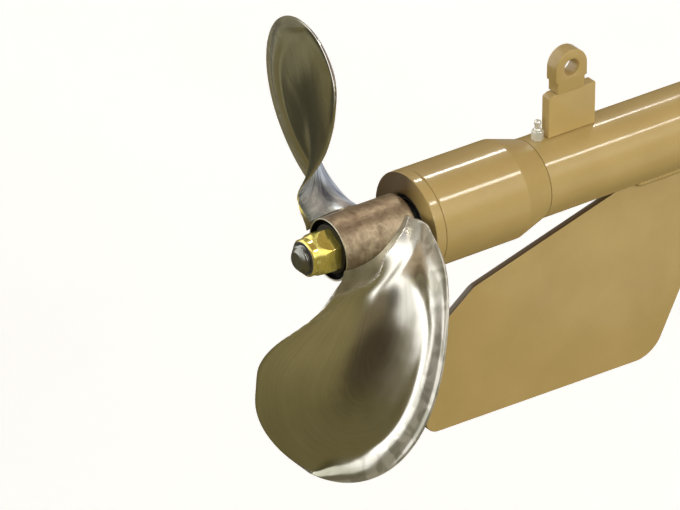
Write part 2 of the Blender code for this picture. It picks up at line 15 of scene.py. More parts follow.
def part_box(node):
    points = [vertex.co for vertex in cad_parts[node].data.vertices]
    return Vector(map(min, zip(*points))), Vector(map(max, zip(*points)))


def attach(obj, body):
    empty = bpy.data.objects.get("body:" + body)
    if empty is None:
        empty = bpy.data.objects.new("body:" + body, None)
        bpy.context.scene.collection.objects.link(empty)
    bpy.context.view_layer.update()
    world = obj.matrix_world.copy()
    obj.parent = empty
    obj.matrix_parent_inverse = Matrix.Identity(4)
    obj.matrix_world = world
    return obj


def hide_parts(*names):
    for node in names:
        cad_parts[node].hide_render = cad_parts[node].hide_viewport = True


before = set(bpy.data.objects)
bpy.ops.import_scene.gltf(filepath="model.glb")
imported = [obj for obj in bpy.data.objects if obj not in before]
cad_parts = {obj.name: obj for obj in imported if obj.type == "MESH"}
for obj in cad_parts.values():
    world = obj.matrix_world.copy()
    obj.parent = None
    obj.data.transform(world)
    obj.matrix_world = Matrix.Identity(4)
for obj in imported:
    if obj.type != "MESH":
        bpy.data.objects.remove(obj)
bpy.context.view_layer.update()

scene = bpy.context.scene

# %% [markdown]
# ## Stations along the shaft
# Everything that is turned shares one axis, the shaft's. A maker would write the faces'
# places along it on the drawing's base line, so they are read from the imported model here,
# and no piece can drift away from the solid that it stands for.

# %% Stations
def station(node):
    """Aft face, forward face and radius of a turned node."""
    low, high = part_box(node)
    return low.x, high.x, (high.z - low.z) / 2.0


hub_aft, hub_fore, hub_radius = station("prop_hub")
cap_aft, cap_fore, barrel_radius = station("seal_cap")
barrel_aft, cone_fore, _ = station("bearing_housing")
tube_aft, tube_fore, tube_radius = station("drive_tube")
flange_aft, flange_fore, flange_radius = station("mounting_flange")
shaft_aft, shaft_fore, coupling_radius = station("prop_shaft")
SHAFT_Z = (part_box("prop_hub")[0].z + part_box("prop_hub")[1].z) / 2.0
SHAFT_RADIUS = 0.0125
THREAD_RADIUS = 0.0100
GAP = 0.0003
print(f"shaft axis at z {SHAFT_Z:.4f}, hub from x {hub_aft:.4f} to {hub_fore:.4f}")

# %% [markdown]
# ## Camera
# The photograph was taken from far off with a long lens, a little above the propeller and
# from its aft starboard side. A long lens keeps the rings of the barrel parallel, so the
# focal length matters as much as the place. Depth of field stays off.

# %% Camera
LENS_MM, SENSOR_MM = 317.65, 36.0
FARTHEST_VIEW = 80.0
CAMERA_PLACE = Vector((-2.53246, -3.01884, 2.0982))
CAMERA_AZIMUTH, CAMERA_DROP = 54.742, 30.208


def toward(azimuth, elevation):
    """A direction by its degrees: azimuth 0 is forward along the shaft, 90 is port."""
    turn, rise = math.radians(azimuth), math.radians(elevation)
    level = math.cos(rise)
    return Vector((math.cos(turn) * level, math.sin(turn) * level, math.sin(rise)))


def aim(obj, direction):
    """Turns a camera or a light so that it looks along a direction."""
    obj.rotation_mode = "QUATERNION"
    obj.rotation_quaternion = direction.to_track_quat("-Z", "Y")


camera_data = bpy.data.cameras.new("photo_camera")
camera = bpy.data.objects.new("photo_camera", camera_data)
scene.collection.objects.link(camera)
camera_data.lens = LENS_MM
camera_data.sensor_width = SENSOR_MM
camera_data.clip_end = FARTHEST_VIEW
camera.location = CAMERA_PLACE
aim(camera, toward(CAMERA_AZIMUTH, -CAMERA_DROP))
scene.camera = camera
print("camera at", [round(v, 3) for v in camera.location])

# %% [markdown]
# ## Tools of the bench
# Operators act on whatever is selected, so each step starts from a clean selection. A turned
# piece is drawn as half of its section, on a circle whose points are put on the drawing, and
# spun round the shaft. The doubles where the spin meets itself are merged, loose edges on the
# axis are dropped, and only then are the faces turned outwards.

# %% Clean selection and edit mode
MERGE_DISTANCE = 0.000002


def deselect_all():
    """Back to object mode, with nothing selected."""
    if bpy.context.mode != "OBJECT":
        bpy.ops.object.mode_set(mode="OBJECT")
    bpy.ops.object.select_all(action="DESELECT")


def pick(piece):
    """Makes one piece the only selected and active one."""
    deselect_all()
    piece.select_set(True)
    bpy.context.view_layer.objects.active = piece


def edit_all():
    """Goes into edit mode with the whole mesh selected."""
    bpy.ops.object.mode_set(mode="EDIT")
    bpy.ops.mesh.select_all(action="SELECT")


def unselect(kind):
    """Leaves nothing of the mesh selected, to pick its points or its edges by place."""
    bpy.ops.object.mode_set(mode="EDIT")
    bpy.ops.mesh.select_mode(type=kind)
    bpy.ops.mesh.select_all(action="DESELECT")
    bpy.ops.object.mode_set(mode="OBJECT")


def close_up(piece):
    """Merges doubles, drops loose edges and turns every face outwards."""
    pick(piece)
    edit_all()
    bpy.ops.mesh.remove_doubles(threshold=MERGE_DISTANCE)
    bpy.ops.mesh.delete_loose()
    bpy.ops.mesh.select_all(action="SELECT")
    bpy.ops.mesh.normals_make_consistent(inside=False)
    bpy.ops.object.mode_set(mode="OBJECT")


# %% Starting shapes
UPRIGHT = (0.0, 0.0, 0.0)
ALONG_X = (0.0, math.pi / 2.0, 0.0)
ALONG_Y = (math.pi / 2.0, 0.0, 0.0)
DRILL_LENGTH = 0.03


def cylinder(name, sides, radius, length, place, lie=ALONG_X):
    """A cylinder with its middle at the place, or a prism if it has few sides."""
    deselect_all()
    bpy.ops.mesh.primitive_cylinder_add(
        vertices=sides, radius=radius, depth=length, location=place, rotation=lie
    )
    piece = bpy.context.object
    piece.name = name
    bpy.ops.object.transform_apply(location=True, rotation=True, scale=True)
    return piece


def drawn(name, places, fill="NOTHING"):
    """An outline: a circle with as many points as the drawing has, each put in its place."""
    deselect_all()
    bpy.ops.mesh.primitive_circle_add(vertices=len(places), radius=0.01, fill_type=fill)
    piece = bpy.context.object
    piece.name = name
    for vertex, place in zip(piece.data.vertices, places):
        vertex.co = place
    return piece


def extrude(piece, offset):
    """Pulls a filled outline out into a solid."""
    edit_all()
    bpy.ops.mesh.extrude_region_move(TRANSFORM_OT_translate={"value": offset})
    close_up(piece)


# %% Edges, cuts and last steps
def soften(piece, width, segments=3, angle=30.0):
    """Rounds every edge that is sharper than the angle, as a file or a paint coat does."""
    pick(piece)
    bevel = piece.modifiers.new("soft_edges", "BEVEL")
    bevel.width = width
    bevel.segments = segments
    bevel.limit_method = "ANGLE"
    bevel.angle_limit = math.radians(angle)
    bpy.ops.object.modifier_apply(modifier=bevel.name)


def combine(piece, other, operation):
    """One exact Boolean between two pieces. The other piece is used up."""
    pick(piece)
    boolean = piece.modifiers.new("combine", "BOOLEAN")
    boolean.operation = operation
    boolean.solver = "EXACT"
    boolean.object = other
    bpy.ops.object.modifier_apply(modifier=boolean.name)
    pick(other)
    bpy.ops.object.delete()
    close_up(piece)


def settle(piece, finish, body, node, smooth=35.0):
    """Last steps of each piece: shading, finish and the body that it rides on."""
    pick(piece)
    bpy.ops.object.shade_smooth_by_angle(angle=math.radians(smooth))
    piece.data.materials.clear()
    piece.data.materials.append(finish)
    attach(piece, body)
    if node:
        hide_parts(node)
    piece.data.calc_loop_triangles()
    print(f"{piece.name}: {len(piece.data.loop_triangles)} triangles")


# %% [markdown]
# Smooth shading blends the slopes of neighbouring faces. Narrow bands at a turned outline's
# corners keep that blend there, so that a long plain barrel reflects as a true cylinder. A
# corner of a plate is found by its place, because each bevel changes the points' numbers.

# %% Turning
GUARD = 0.0016


def guarded(outline):
    """The outline with a point a little way in from both ends of each long run."""
    points = []
    for here, there in zip(outline, outline[1:] + outline[:1]):
        points.append(here)
        run = math.dist(here, there)
        if run > 4.0 * GUARD and max(here[1], there[1]) > GUARD:
            share = GUARD / run
            for t in (share, 1.0 - share):
                points.append(tuple(a + (b - a) * t for a, b in zip(here, there)))
    return points


def turned(name, outline, steps=96, upright_at=None):
    """Spins a closed outline of (along, radius) points round the shaft, or round an upright."""
    centre = Vector(upright_at or (0.0, 0.0, SHAFT_Z))
    axis = (0, 0, 1) if upright_at else (1, 0, 0)
    piece = drawn(name, [
        centre + Vector((radius, 0.0, along) if upright_at else (along, 0.0, radius))
        for along, radius in guarded(outline)
    ])
    edit_all()
    bpy.ops.mesh.spin(steps=steps, angle=math.tau, center=centre, axis=axis)
    close_up(piece)
    return piece


def ring(name, start, end, inner, outer, steps=96):
    """A plain ring: a rectangle spun round the shaft."""
    return turned(name, [(start, inner), (start, outer), (end, outer), (end, inner)], steps)


# %% Plate work
SAME_PLACE = 0.00001


def round_corner(piece, corner, corners, radius):
    """Bevels one corner of the flat outline into an arc."""
    here = Vector(corners[corner])
    before = (Vector(corners[corner - 1]) - here).normalized()
    after = (Vector(corners[(corner + 1) % len(corners)]) - here).normalized()
    reach = radius / math.tan(before.angle(after) / 2.0)
    unselect("VERT")
    for vertex in piece.data.vertices:
        vertex.select = (Vector((vertex.co.x, vertex.co.z)) - here).length < SAME_PLACE
    bpy.ops.object.mode_set(mode="EDIT")
    bpy.ops.mesh.bevel(offset=reach, segments=10, affect="VERTICES", profile=0.5)
    bpy.ops.object.mode_set(mode="OBJECT")


def plate(name, corners, half_thickness, roundings=None):
    """A flat plate in the upright plane of the shaft, from (x, z) corners."""
    piece = drawn(name, [(x, -half_thickness, z) for x, z in corners], "NGON")
    for corner, radius in (roundings or {}).items():
        round_corner(piece, corner, corners, radius)
    extrude(piece, (0.0, 2.0 * half_thickness, 0.0))
    return piece


# %% [markdown]
# ## Nodes for the finishes
# A finish is colour, roughness and a little relief, each varied by noise at its real scale.
# Patterns read Object coordinates in metres, so a scale of 1000 means one ripple for each
# millimetre. Bare edges are found with the Bevel node: where its rounded normal leaves the
# true one, the edge is near, and paint or oxide is thinner.

# %% Node helpers
def new_finish(name):
    """A new material, with its node tree and its shader."""
    material = bpy.data.materials.new(name)
    material.use_nodes = True
    tree = material.node_tree
    return material, tree, tree.nodes["Principled BSDF"]


def plug(tree, value, socket):
    """Links a pattern to a socket, or sets an even number, vector or colour on it."""
    if isinstance(value, bpy.types.NodeSocket):
        tree.links.new(value, socket)
    elif socket.type == "RGBA":
        socket.default_value = (*value, 1.0)
    else:
        socket.default_value = value


def add(tree, kind, inputs=None, **settings):
    """Adds a shader node, sets its options, and fills or links its sockets by name or number."""
    node = tree.nodes.new(kind)
    for key, value in settings.items():
        setattr(node, key, value)
    for key, value in (inputs or {}).items():
        plug(tree, value, node.inputs[key])
    return node


def dress(shader, **values):
    """Patterns and even values go straight to the shader's own sockets, by their names."""
    for name, value in values.items():
        plug(shader.id_data, value, shader.inputs[name.replace("_", " ")])


def spot(tree, stretch=(1.0, 1.0, 1.0), source="Object", shift=(0.0, 0.0, 0.0)):
    """Object or UV coordinates, stretched for patterns that run one way, then shifted."""
    coords = add(tree, "ShaderNodeTexCoord").outputs[source]
    inputs = {"Vector": coords, "Location": shift, "Scale": stretch}
    return add(tree, "ShaderNodeMapping", inputs).outputs["Vector"]


def one_axis(tree, source, axis):
    """X, Y or Z alone, of the place (Object) or of the way that the surface faces (Normal)."""
    coords = add(tree, "ShaderNodeTexCoord").outputs[source]
    return add(tree, "ShaderNodeSeparateXYZ", {0: coords}).outputs[axis]


# %% Noise, ramps and blends
def noise(tree, where, scale, detail=4.0, rough=0.55, distort=0.0):
    """Soft random patches, each about 1 / scale metres wide."""
    inputs = {"Vector": where, "Scale": scale, "Detail": detail,
              "Roughness": rough, "Distortion": distort}
    return add(tree, "ShaderNodeTexNoise", inputs).outputs["Fac"]


def ramp(tree, value, *stops):
    """A colour or grey ramp from (position, colour) stops."""
    node = add(tree, "ShaderNodeValToRGB", {"Fac": value})
    elements = node.color_ramp.elements
    while len(elements) < len(stops):
        elements.new(0.5)
    for element, (position, colour) in zip(elements, stops):
        element.position = position
        grey = not isinstance(colour, tuple)
        element.color = (colour, colour, colour, 1.0) if grey else (*colour, 1.0)
    return node.outputs["Color"]


def blend(tree, share, first, second, mode="MIX"):
    """Mixes two colours. The colour sockets of a Mix node are its numbers 6 and 7."""
    inputs = {0: share, 6: first, 7: second}
    return add(tree, "ShaderNodeMix", inputs, data_type="RGBA", blend_type=mode).outputs[2]


def maths(tree, operation, first, second=0.0):
    """One number from one or two numbers."""
    return add(tree, "ShaderNodeMath", {0: first, 1: second}, operation=operation).outputs[0]


# %% Relief and edges
def relief(tree, height, strength, depth, under=None):
    """Fine relief from a pattern of heights, on top of another relief if there is one."""
    inputs = {"Height": height, "Strength": strength, "Distance": depth}
    if under:
        inputs["Normal"] = under
    return add(tree, "ShaderNodeBump", inputs).outputs["Normal"]


def measure(tree, operation, first, second=(0.0, 0.0, 0.0)):
    """One number from one or two vectors."""
    inputs = {0: first, 1: second}
    return add(tree, "ShaderNodeVectorMath", inputs, operation=operation).outputs["Value"]


def edge_share(tree, radius):
    """0 on the flats, 1 on an edge, from how far the rounded normal leans."""
    rounded = add(tree, "ShaderNodeBevel", {"Radius": radius}, samples=4).outputs["Normal"]
    true = add(tree, "ShaderNodeNewGeometry").outputs["Normal"]
    lean = measure(tree, "DOT_PRODUCT", rounded, true)
    return ramp(tree, maths(tree, "SUBTRACT", 1.0, lean), (0.02, 0.0), (0.25, 1.0))


# %% [markdown]
# ## Tan paint
# The housing, tube, skeg and lug wear one thick coat of semi-gloss tan enamel. It is sprayed,
# so it has a fine orange-peel skin that softens reflections, faint clouds of thicker and
# thinner colour and a few dust nibs. Painted shade darkens it to brown on the skeg's cut
# edges and on the cap's aft face, which lie in shade.

# %% Tan paint
# The last of these colours is a dark brown of painted shade, for the skeg's cut edges and the
# cap's aft face.
TAN, DEEP_TAN, PAINTED_SHADE_BROWN = (0.560, 0.400, 0.148), (0.500, 0.350, 0.125), (0.062, 0.032, 0.012)


def tan_paint(name, painted_shade=None):
    """The enamel, with painted shade in dark brown where the given shade mask says so."""
    material, tree, shader = new_finish(name)
    where = spot(tree)
    clouds = noise(tree, where, 22.0, 5.0)
    colour = ramp(tree, clouds, (0.32, DEEP_TAN), (0.68, TAN))
    nibs = ramp(tree, noise(tree, where, 900.0, 2.0), (0.70, 0.0), (0.78, 1.0))
    colour = blend(tree, maths(tree, "MULTIPLY", nibs, 0.25), colour, (0.20, 0.13, 0.06))
    worn = blend(tree, noise(tree, where, 160.0), (0.0, 0.0, 0.0), edge_share(tree, 0.0012))
    colour = blend(tree, worn, colour, (0.60, 0.47, 0.27))
    # Painted shade: the dark brown is blended in where the shade mask is high.
    if painted_shade:
        colour = blend(tree, painted_shade(tree), colour, PAINTED_SHADE_BROWN)
    gloss = ramp(tree, noise(tree, where, 60.0, 6.0), (0.3, 0.36), (0.7, 0.46))
    skin = relief(tree, noise(tree, where, 520.0, 3.0), 0.35, 0.00006)
    skin = relief(tree, noise(tree, where, 45.0, 2.0), 0.25, 0.0004, skin)
    dress(shader, Base_Color=colour, Roughness=gloss, Normal=skin,
          Coat_Weight=0.5, Coat_Roughness=0.12, Coat_IOR=1.5)
    return material


def shade_on_cut_edges(tree):
    """1 on the faces round a plate's outline, which get painted shade."""
    sideways = maths(tree, "ABSOLUTE", one_axis(tree, "Normal", "Y"))
    return ramp(tree, sideways, (0.40, 0.92), (0.80, 0.0))


def shade_on_aft_face(tree):
    """Up to 1 on the cap's aft face, which gets painted shade, less towards starboard."""
    aft = maths(tree, "MULTIPLY", one_axis(tree, "Normal", "X"), -1.0)
    port = maths(tree, "ADD", one_axis(tree, "Object", "Y"), 0.5)
    shade = ramp(tree, port, (0.474, 0.0), (0.500, 0.88))
    return maths(tree, "MULTIPLY", ramp(tree, aft, (0.70, 0.0), (0.95, 1.0)), shade)


paint = tan_paint("tan_enamel")
# The plate's paint carries painted shade, dark brown, on its cut edges.
plate_paint = tan_paint("tan_enamel_shaded_edges", shade_on_cut_edges)
# The cap's paint carries painted shade, dark brown, on its aft face.
cap_paint = tan_paint("tan_enamel_shaded_face", shade_on_aft_face)
print("tan paint has", len(paint.node_tree.nodes), "nodes")

# %% [markdown]
# ## Polished blade steel
# The blades are ground and then buffed by hand. The grit runs in long arcs that follow the
# blade's edge, so the scratches are noise stretched along the arcs of the piece's own UV
# map. The buffing wheel leaves shallow waves, which break up reflections into soft patches.
# Near the root the fillet is only linished, and a rough, ragged seam of weld metal ends it.

# %% Polished steel
BLADE_MAPS = ("root_reach", "beaten", "worn_tip", "brushed_blue_sheen")


def polished_steel(name):
    """Buffed steel whose colour and shine follow the four maps of the blade."""
    material, tree, shader = new_finish(name)
    where = spot(tree)
    arcs = spot(tree, (1.0, 0.035, 1.0), "UV")
    grit = noise(tree, arcs, 260.0, 5.0, 0.7)
    root, beaten, worn, brushed_blue_sheen = (
        add(tree, "ShaderNodeAttribute", attribute_name=key).outputs["Fac"] for key in BLADE_MAPS
    )
    ragged = maths(tree, "SUBTRACT", noise(tree, where, 110.0, 5.0), 0.5)
    reach = maths(tree, "ADD", root, maths(tree, "MULTIPLY", ragged, 0.5))
    near_root = ramp(tree, reach, (0.62, 1.0), (1.02, 0.0))
    seam = ramp(tree, reach, (0.70, 0.0), (0.86, 1.0), (0.99, 0.0))

    tone = ramp(tree, grit, (0.25, (0.78, 0.755, 0.68)), (0.75, (0.92, 0.90, 0.85)))
    haze = noise(tree, where, 30.0, 5.0)
    haze = ramp(tree, haze, (0.35, (0.80, 0.77, 0.69)), (0.7, (0.92, 0.90, 0.86)))
    colour = blend(tree, 0.5, tone, haze)
    bands = noise(tree, arcs, 55.0, 4.0, 0.6)
    bands = ramp(tree, bands, (0.35, (0.80, 0.78, 0.72)), (0.6, (1.0, 1.0, 1.0)))
    colour = blend(tree, 0.35, colour, bands, "MULTIPLY")
    hollows = noise(tree, where, 75.0, 1.5, 0.4, 0.6)
    dull = maths(tree, "MULTIPLY", beaten, ramp(tree, hollows, (0.38, 0.60), (0.54, 0.0)))
    colour = blend(tree, dull, colour, (0.30, 0.29, 0.22))
    colour = blend(tree, maths(tree, "MULTIPLY", worn, 0.80), colour, (0.28, 0.275, 0.19))
    # Painted reflection: the brushed zone's bluish tint stands in for bluish light mirrored there;
    # its streaks are the brushing.
    satin_and_blue_sheen = noise(tree, spot(tree, (1.0, 6.0, 1.0)), 30.0, 4.0)
    satin_and_blue_sheen = ramp(tree, satin_and_blue_sheen, (0.38, (0.22, 0.24, 0.31)), (0.62, (0.88, 0.95, 1.0)))
    colour = blend(tree, brushed_blue_sheen, colour, satin_and_blue_sheen)
    dressed = noise(tree, where, 70.0, 6.0)
    dressed = ramp(tree, dressed, (0.3, (0.30, 0.27, 0.18)), (0.7, (0.52, 0.47, 0.36)))
    colour = blend(tree, near_root, colour, dressed)
    colour = blend(tree, maths(tree, "MULTIPLY", seam, 0.5), colour, (0.93, 0.91, 0.84))

    gloss = ramp(tree, grit, (0.3, 0.10), (0.8, 0.21))
    patch = ramp(tree, noise(tree, where, 24.0, 4.0), (0.4, 0.0), (0.75, 0.08))
    for share, rougher in ((patch, 1.0), (beaten, 0.15), (brushed_blue_sheen, 0.12)):
        gloss = blend(tree, 1.0, gloss, maths(tree, "MULTIPLY", share, rougher), "ADD")
    gloss = blend(tree, near_root, gloss, (0.36, 0.36, 0.36))

    skin = relief(tree, noise(tree, where, 34.0, 2.0, 0.4), 0.35, 0.0010)
    skin = relief(tree, maths(tree, "MULTIPLY", beaten, hollows), 0.30, 0.0012, skin)
    skin = relief(tree, grit, 0.10, 0.00005, skin)
    speckle = maths(tree, "MULTIPLY", seam, noise(tree, where, 420.0, 4.0))
    skin = relief(tree, speckle, 0.9, 0.0006, skin)
    dulled = maths(tree, "ADD", maths(tree, "MULTIPLY", beaten, 0.28),
                   maths(tree, "MULTIPLY", brushed_blue_sheen, 0.25))
    dulled = maths(tree, "MAXIMUM", dulled, maths(tree, "MULTIPLY", near_root, 0.12))
    dress(shader, Base_Color=colour, Roughness=gloss, Normal=skin,
          Metallic=maths(tree, "SUBTRACT", 1.0, dulled))
    return material


polished = polished_steel("buffed_blade_steel")
print("blade steel has", len(polished.node_tree.nodes), "nodes")

# %% [markdown]
# ## Linished hub, machined steel, yellow plate, rubber, and the washer in painted shade
# The hub was only dressed with a belt: its marks run round it and it keeps a brown cast with
# blotches. Machined steel has fine rings from the lathe tool. The nut is plated yellow, in
# blotches of deeper and paler tone, and paler on its edges. Rubber and the washer are nearly
# matte, with a little dust in their grain.

# %% Metals
# A ramp's stops are too coarse for a radius in metres, so it reads ten times the radius.
ZOOM = 10.0


def worked_metal(name, dark, light, run, marks, gloss, edge,
                 grain=0.12, blotch=40.0, bore=0.0, **even):
    """A bare metal whose tool marks run one way. A bored one gets near-black painted shade inside
    the bore, and a faced end.
    """
    material, tree, shader = new_finish(name)
    where = spot(tree)
    lines = noise(tree, spot(tree, run), marks, 4.0, 0.65)
    patches = noise(tree, where, blotch, 6.0, 0.6, 0.6)
    colour = ramp(tree, patches, (0.30, dark), (0.70, light))
    colour = blend(tree, 0.45, colour, ramp(tree, lines, (0.3, dark), (0.7, light)))
    colour = blend(tree, edge_share(tree, 0.0008), colour, edge)
    if bore:
        offset = spot(tree, (0.0, ZOOM, ZOOM), shift=(0.0, 0.0, -ZOOM * SHAFT_Z))
        radius = measure(tree, "LENGTH", offset)
        aft = maths(tree, "MULTIPLY", one_axis(tree, "Normal", "X"), -1.0)
        colour = blend(tree, ramp(tree, aft, (0.3, 0.0), (0.8, 0.9)), colour, edge)
        # Painted shade: near black inside the bore's radius, where the recess lies in shade.
        inside = ramp(tree, radius, (ZOOM * bore, 1.0), (ZOOM * bore + 0.002, 0.0))
        colour = blend(tree, inside, colour, (0.012, 0.011, 0.010))
    low, high = gloss
    shine = blend(tree, 0.5, ramp(tree, lines, (0.3, low), (0.7, high)),
                  ramp(tree, patches, (0.3, high), (0.7, low)))
    skin = relief(tree, lines, grain, 0.00008)
    skin = relief(tree, noise(tree, where, 500.0, 3.0), grain, 0.00008, skin)
    if bore:
        skin = relief(tree, noise(tree, where, 170.0, 4.0, 0.6, 1.5), 0.55, 0.0007, skin)
    dress(shader, Base_Color=colour, Roughness=shine, Normal=skin, **{"Metallic": 1.0, **even})
    return material


# %% Hub, shaft, nut and fitting
ROUND_THE_SHAFT = (14.0, 1.0, 1.0)
RECESS_RADIUS = 0.0222
hub_steel = worked_metal(
    "linished_hub_steel", (0.19, 0.130, 0.082), (0.60, 0.50, 0.35), (3.0, 1.0, 1.0), 60.0,
    (0.36, 0.60), (0.86, 0.83, 0.74), grain=0.35, blotch=95.0, bore=RECESS_RADIUS + 0.0002,
)
turned_steel = worked_metal(
    "turned_steel", (0.20, 0.20, 0.185), (0.38, 0.38, 0.36), ROUND_THE_SHAFT, 90.0,
    (0.22, 0.38), (0.75, 0.75, 0.72),
)
plated = worked_metal(
    "yellow_plate", (0.62, 0.49, 0.05), (0.98, 0.85, 0.26), ROUND_THE_SHAFT, 50.0,
    (0.10, 0.24), (1.0, 0.90, 0.62), grain=0.08,
    Metallic=0.80, Coat_Weight=0.5, Coat_Roughness=0.06,
)
fitting_steel = worked_metal(
    "zinc_fitting", (0.74, 0.74, 0.66), (0.93, 0.93, 0.85), (1.0, 1.0, 8.0), 200.0,
    (0.16, 0.30), (0.95, 0.95, 0.92), Metallic=0.55,
)
print("bare finishes:", [m.name for m in (hub_steel, turned_steel, plated, fitting_steel)])

# %% Rubber, washer and nylon
def dull_black(name, dark, light, roughness):
    """A dark, nearly matte finish with dust in its grain."""
    material, tree, shader = new_finish(name)
    dust = noise(tree, spot(tree), 260.0, 6.0)
    colour = ramp(tree, dust, (0.35, dark), (0.75, light))
    gloss = ramp(tree, dust, (0.3, roughness), (0.8, roughness + 0.2))
    dress(shader, Base_Color=colour, Roughness=gloss, Normal=relief(tree, dust, 0.25, 0.0001))
    return material


rubber = dull_black("seal_rubber", (0.010, 0.010, 0.009), (0.035, 0.032, 0.026), 0.50)
# The washer's near-black is painted shade, for the shaded recess round the nut.
washer_shade_black = dull_black("washer_painted_shade", (0.010, 0.009, 0.007), (0.024, 0.021, 0.015), 0.50)
insert_grey = dull_black("grey_nylon", (0.040, 0.040, 0.038), (0.085, 0.082, 0.075), 0.28)
print("dull finishes:", [m.name for m in (rubber, washer_shade_black, insert_grey)])

# %% [markdown]
# ## Drive tube, bearing housing and seal cap
# The tube is plain pipe. The housing is turned from bar: a barrel with a cone that runs down
# to the tube. The seal cap is a thick ring pressed against the barrel's end, and the joint
# shows as one thin line. Each is an outline spun round the shaft. The barrel and the cap are
# then softened, because paint never leaves a corner sharp.

# %% Tube, barrel and cap
CONE_LENGTH = 0.0253
BORE_RADIUS = 0.026
TUBE_WALL = 0.005
barrel_fore = cone_fore - CONE_LENGTH + GAP
tube = ring("tube", tube_aft, tube_fore, tube_radius - TUBE_WALL, tube_radius)
settle(tube, paint, "lower_unit", "drive_tube")
barrel = turned("barrel", [
    (barrel_aft, BORE_RADIUS), (barrel_aft, barrel_radius), (barrel_fore, barrel_radius),
    (cone_fore, tube_radius), (cone_fore, tube_radius - TUBE_WALL), (barrel_fore, BORE_RADIUS),
], 128)
soften(barrel, 0.0006, 3, 12.0)
settle(barrel, paint, "lower_unit", "bearing_housing", 25.0)

SEAL_RADIUS = 0.0215
SLEEVE_RADIUS = 0.016
SEAL_INSET = 0.0012
SEAL_LENGTH = 0.006
seal_floor = cap_aft + SEAL_INSET + SEAL_LENGTH + GAP
cap = turned("cap_ring", [
    (cap_aft, SEAL_RADIUS), (cap_aft, barrel_radius), (cap_fore, barrel_radius),
    (cap_fore, SLEEVE_RADIUS + 2.0 * GAP), (seal_floor, SLEEVE_RADIUS + 2.0 * GAP),
    (seal_floor, SEAL_RADIUS),
], 128)
soften(cap, 0.0009)
settle(cap, cap_paint, "lower_unit", "seal_cap", 25.0)

# %% [markdown]
# ## Lip seal and wear sleeve
# The seal sits in the cap and its lip runs on a hard sleeve that turns with the shaft. The
# outline shows the outer band, the hollow with its spring and the thin lip, so the ring reads
# as a seal and not as a flat washer.

# %% Seal and sleeve
LIP_RADIUS = SLEEVE_RADIUS + GAP
BAND = SEAL_RADIUS - GAP - LIP_RADIUS
# How far forward of the seal's aft face, and how far outside its lip.
SEAL_SECTION = (
    (0.0, BAND), (SEAL_LENGTH, BAND), (SEAL_LENGTH, 0.0010), (0.0034, 0.0012), (0.0030, 0.0),
    (0.0022, 0.0), (0.0004, 0.0010), (0.0004, 0.0022), (0.0020, 0.0028), (0.0020, 0.0034),
    (0.0, 0.0038),
)
seal = turned("lip_seal", [
    (cap_aft + SEAL_INSET + along, LIP_RADIUS + out) for along, out in SEAL_SECTION
])
settle(seal, rubber, "lower_unit", "shaft_seal")
sleeve_aft, sleeve_fore, _ = station("wear_sleeve")
sleeve = ring("shaft_sleeve", sleeve_aft, sleeve_fore, SHAFT_RADIUS + GAP, SLEEVE_RADIUS)
soften(sleeve, 0.0004)
settle(sleeve, turned_steel, "propeller", "wear_sleeve")

# %% [markdown]
# ## Mounting flange
# A thick ring with four bolt holes bolts the lower unit to the engine frame. Each hole is cut
# with a drill of its own, then all edges are softened together.

# %% Flange
FLANGE_BORE_RADIUS = 0.020
HOLE_RADIUS = 0.0045
HOLE_COUNT = 4
hole_circle = abs(SHAFT_Z)
flange_middle = (flange_aft + flange_fore) / 2.0
flange = ring("flange", flange_fore, flange_aft, FLANGE_BORE_RADIUS, flange_radius, 128)
for k in range(HOLE_COUNT):
    turn = math.tau * (k + 0.5) / HOLE_COUNT
    y, z = hole_circle * math.sin(turn), hole_circle * math.cos(turn)
    drill = cylinder("drill", 48, HOLE_RADIUS, DRILL_LENGTH, (flange_middle, y, SHAFT_Z + z))
    combine(flange, drill, "DIFFERENCE")
soften(flange, 0.0007)
settle(flange, paint, "lower_unit", "mounting_flange", 25.0)

# %% [markdown]
# ## Shaft, thread and input splines
# Only the shaft's threaded end shows behind the nut, and its splined end inside the flange.
# The crests of the thread are modelled as rings, because the eye reads their spacing. The
# splines are a circle with every second pair of points drawn in, extruded along the shaft.

# %% Shaft and thread
THREAD_PITCH = 0.0015
THREAD_ROOT = 0.0091
COUPLING_LENGTH = 0.030
SPLINE_CORE = coupling_radius - 0.0022
nut_aft, nut_fore, _ = station("lock_nut")
coupling_aft = shaft_fore - COUPLING_LENGTH
thread = [(shaft_aft, 0.0)]
for back, radius in ((0.0, 0.0066), (0.0010, 0.0078), (0.0020, 0.0086)):
    thread.append((shaft_aft + back, radius))
crest = shaft_aft + 0.0026
while crest < nut_aft + 0.004:
    thread += [(crest, THREAD_ROOT), (crest + 0.0005, THREAD_RADIUS),
               (crest + 0.0008, THREAD_RADIUS), (crest + 0.0013, THREAD_ROOT)]
    crest += THREAD_PITCH
seat = (hub_aft + hub_fore) / 2.0
shaft = turned("propeller_shaft", thread + [
    (crest + 0.001, THREAD_RADIUS), (seat, THREAD_RADIUS),
    (seat + SHAFT_RADIUS - THREAD_RADIUS, SHAFT_RADIUS), (coupling_aft, SHAFT_RADIUS),
    (coupling_aft, SPLINE_CORE), (coupling_aft + 0.002, SPLINE_CORE),
    (shaft_fore, SPLINE_CORE), (shaft_fore, 0.0),
])
settle(shaft, turned_steel, "propeller", "prop_shaft", 20.0)

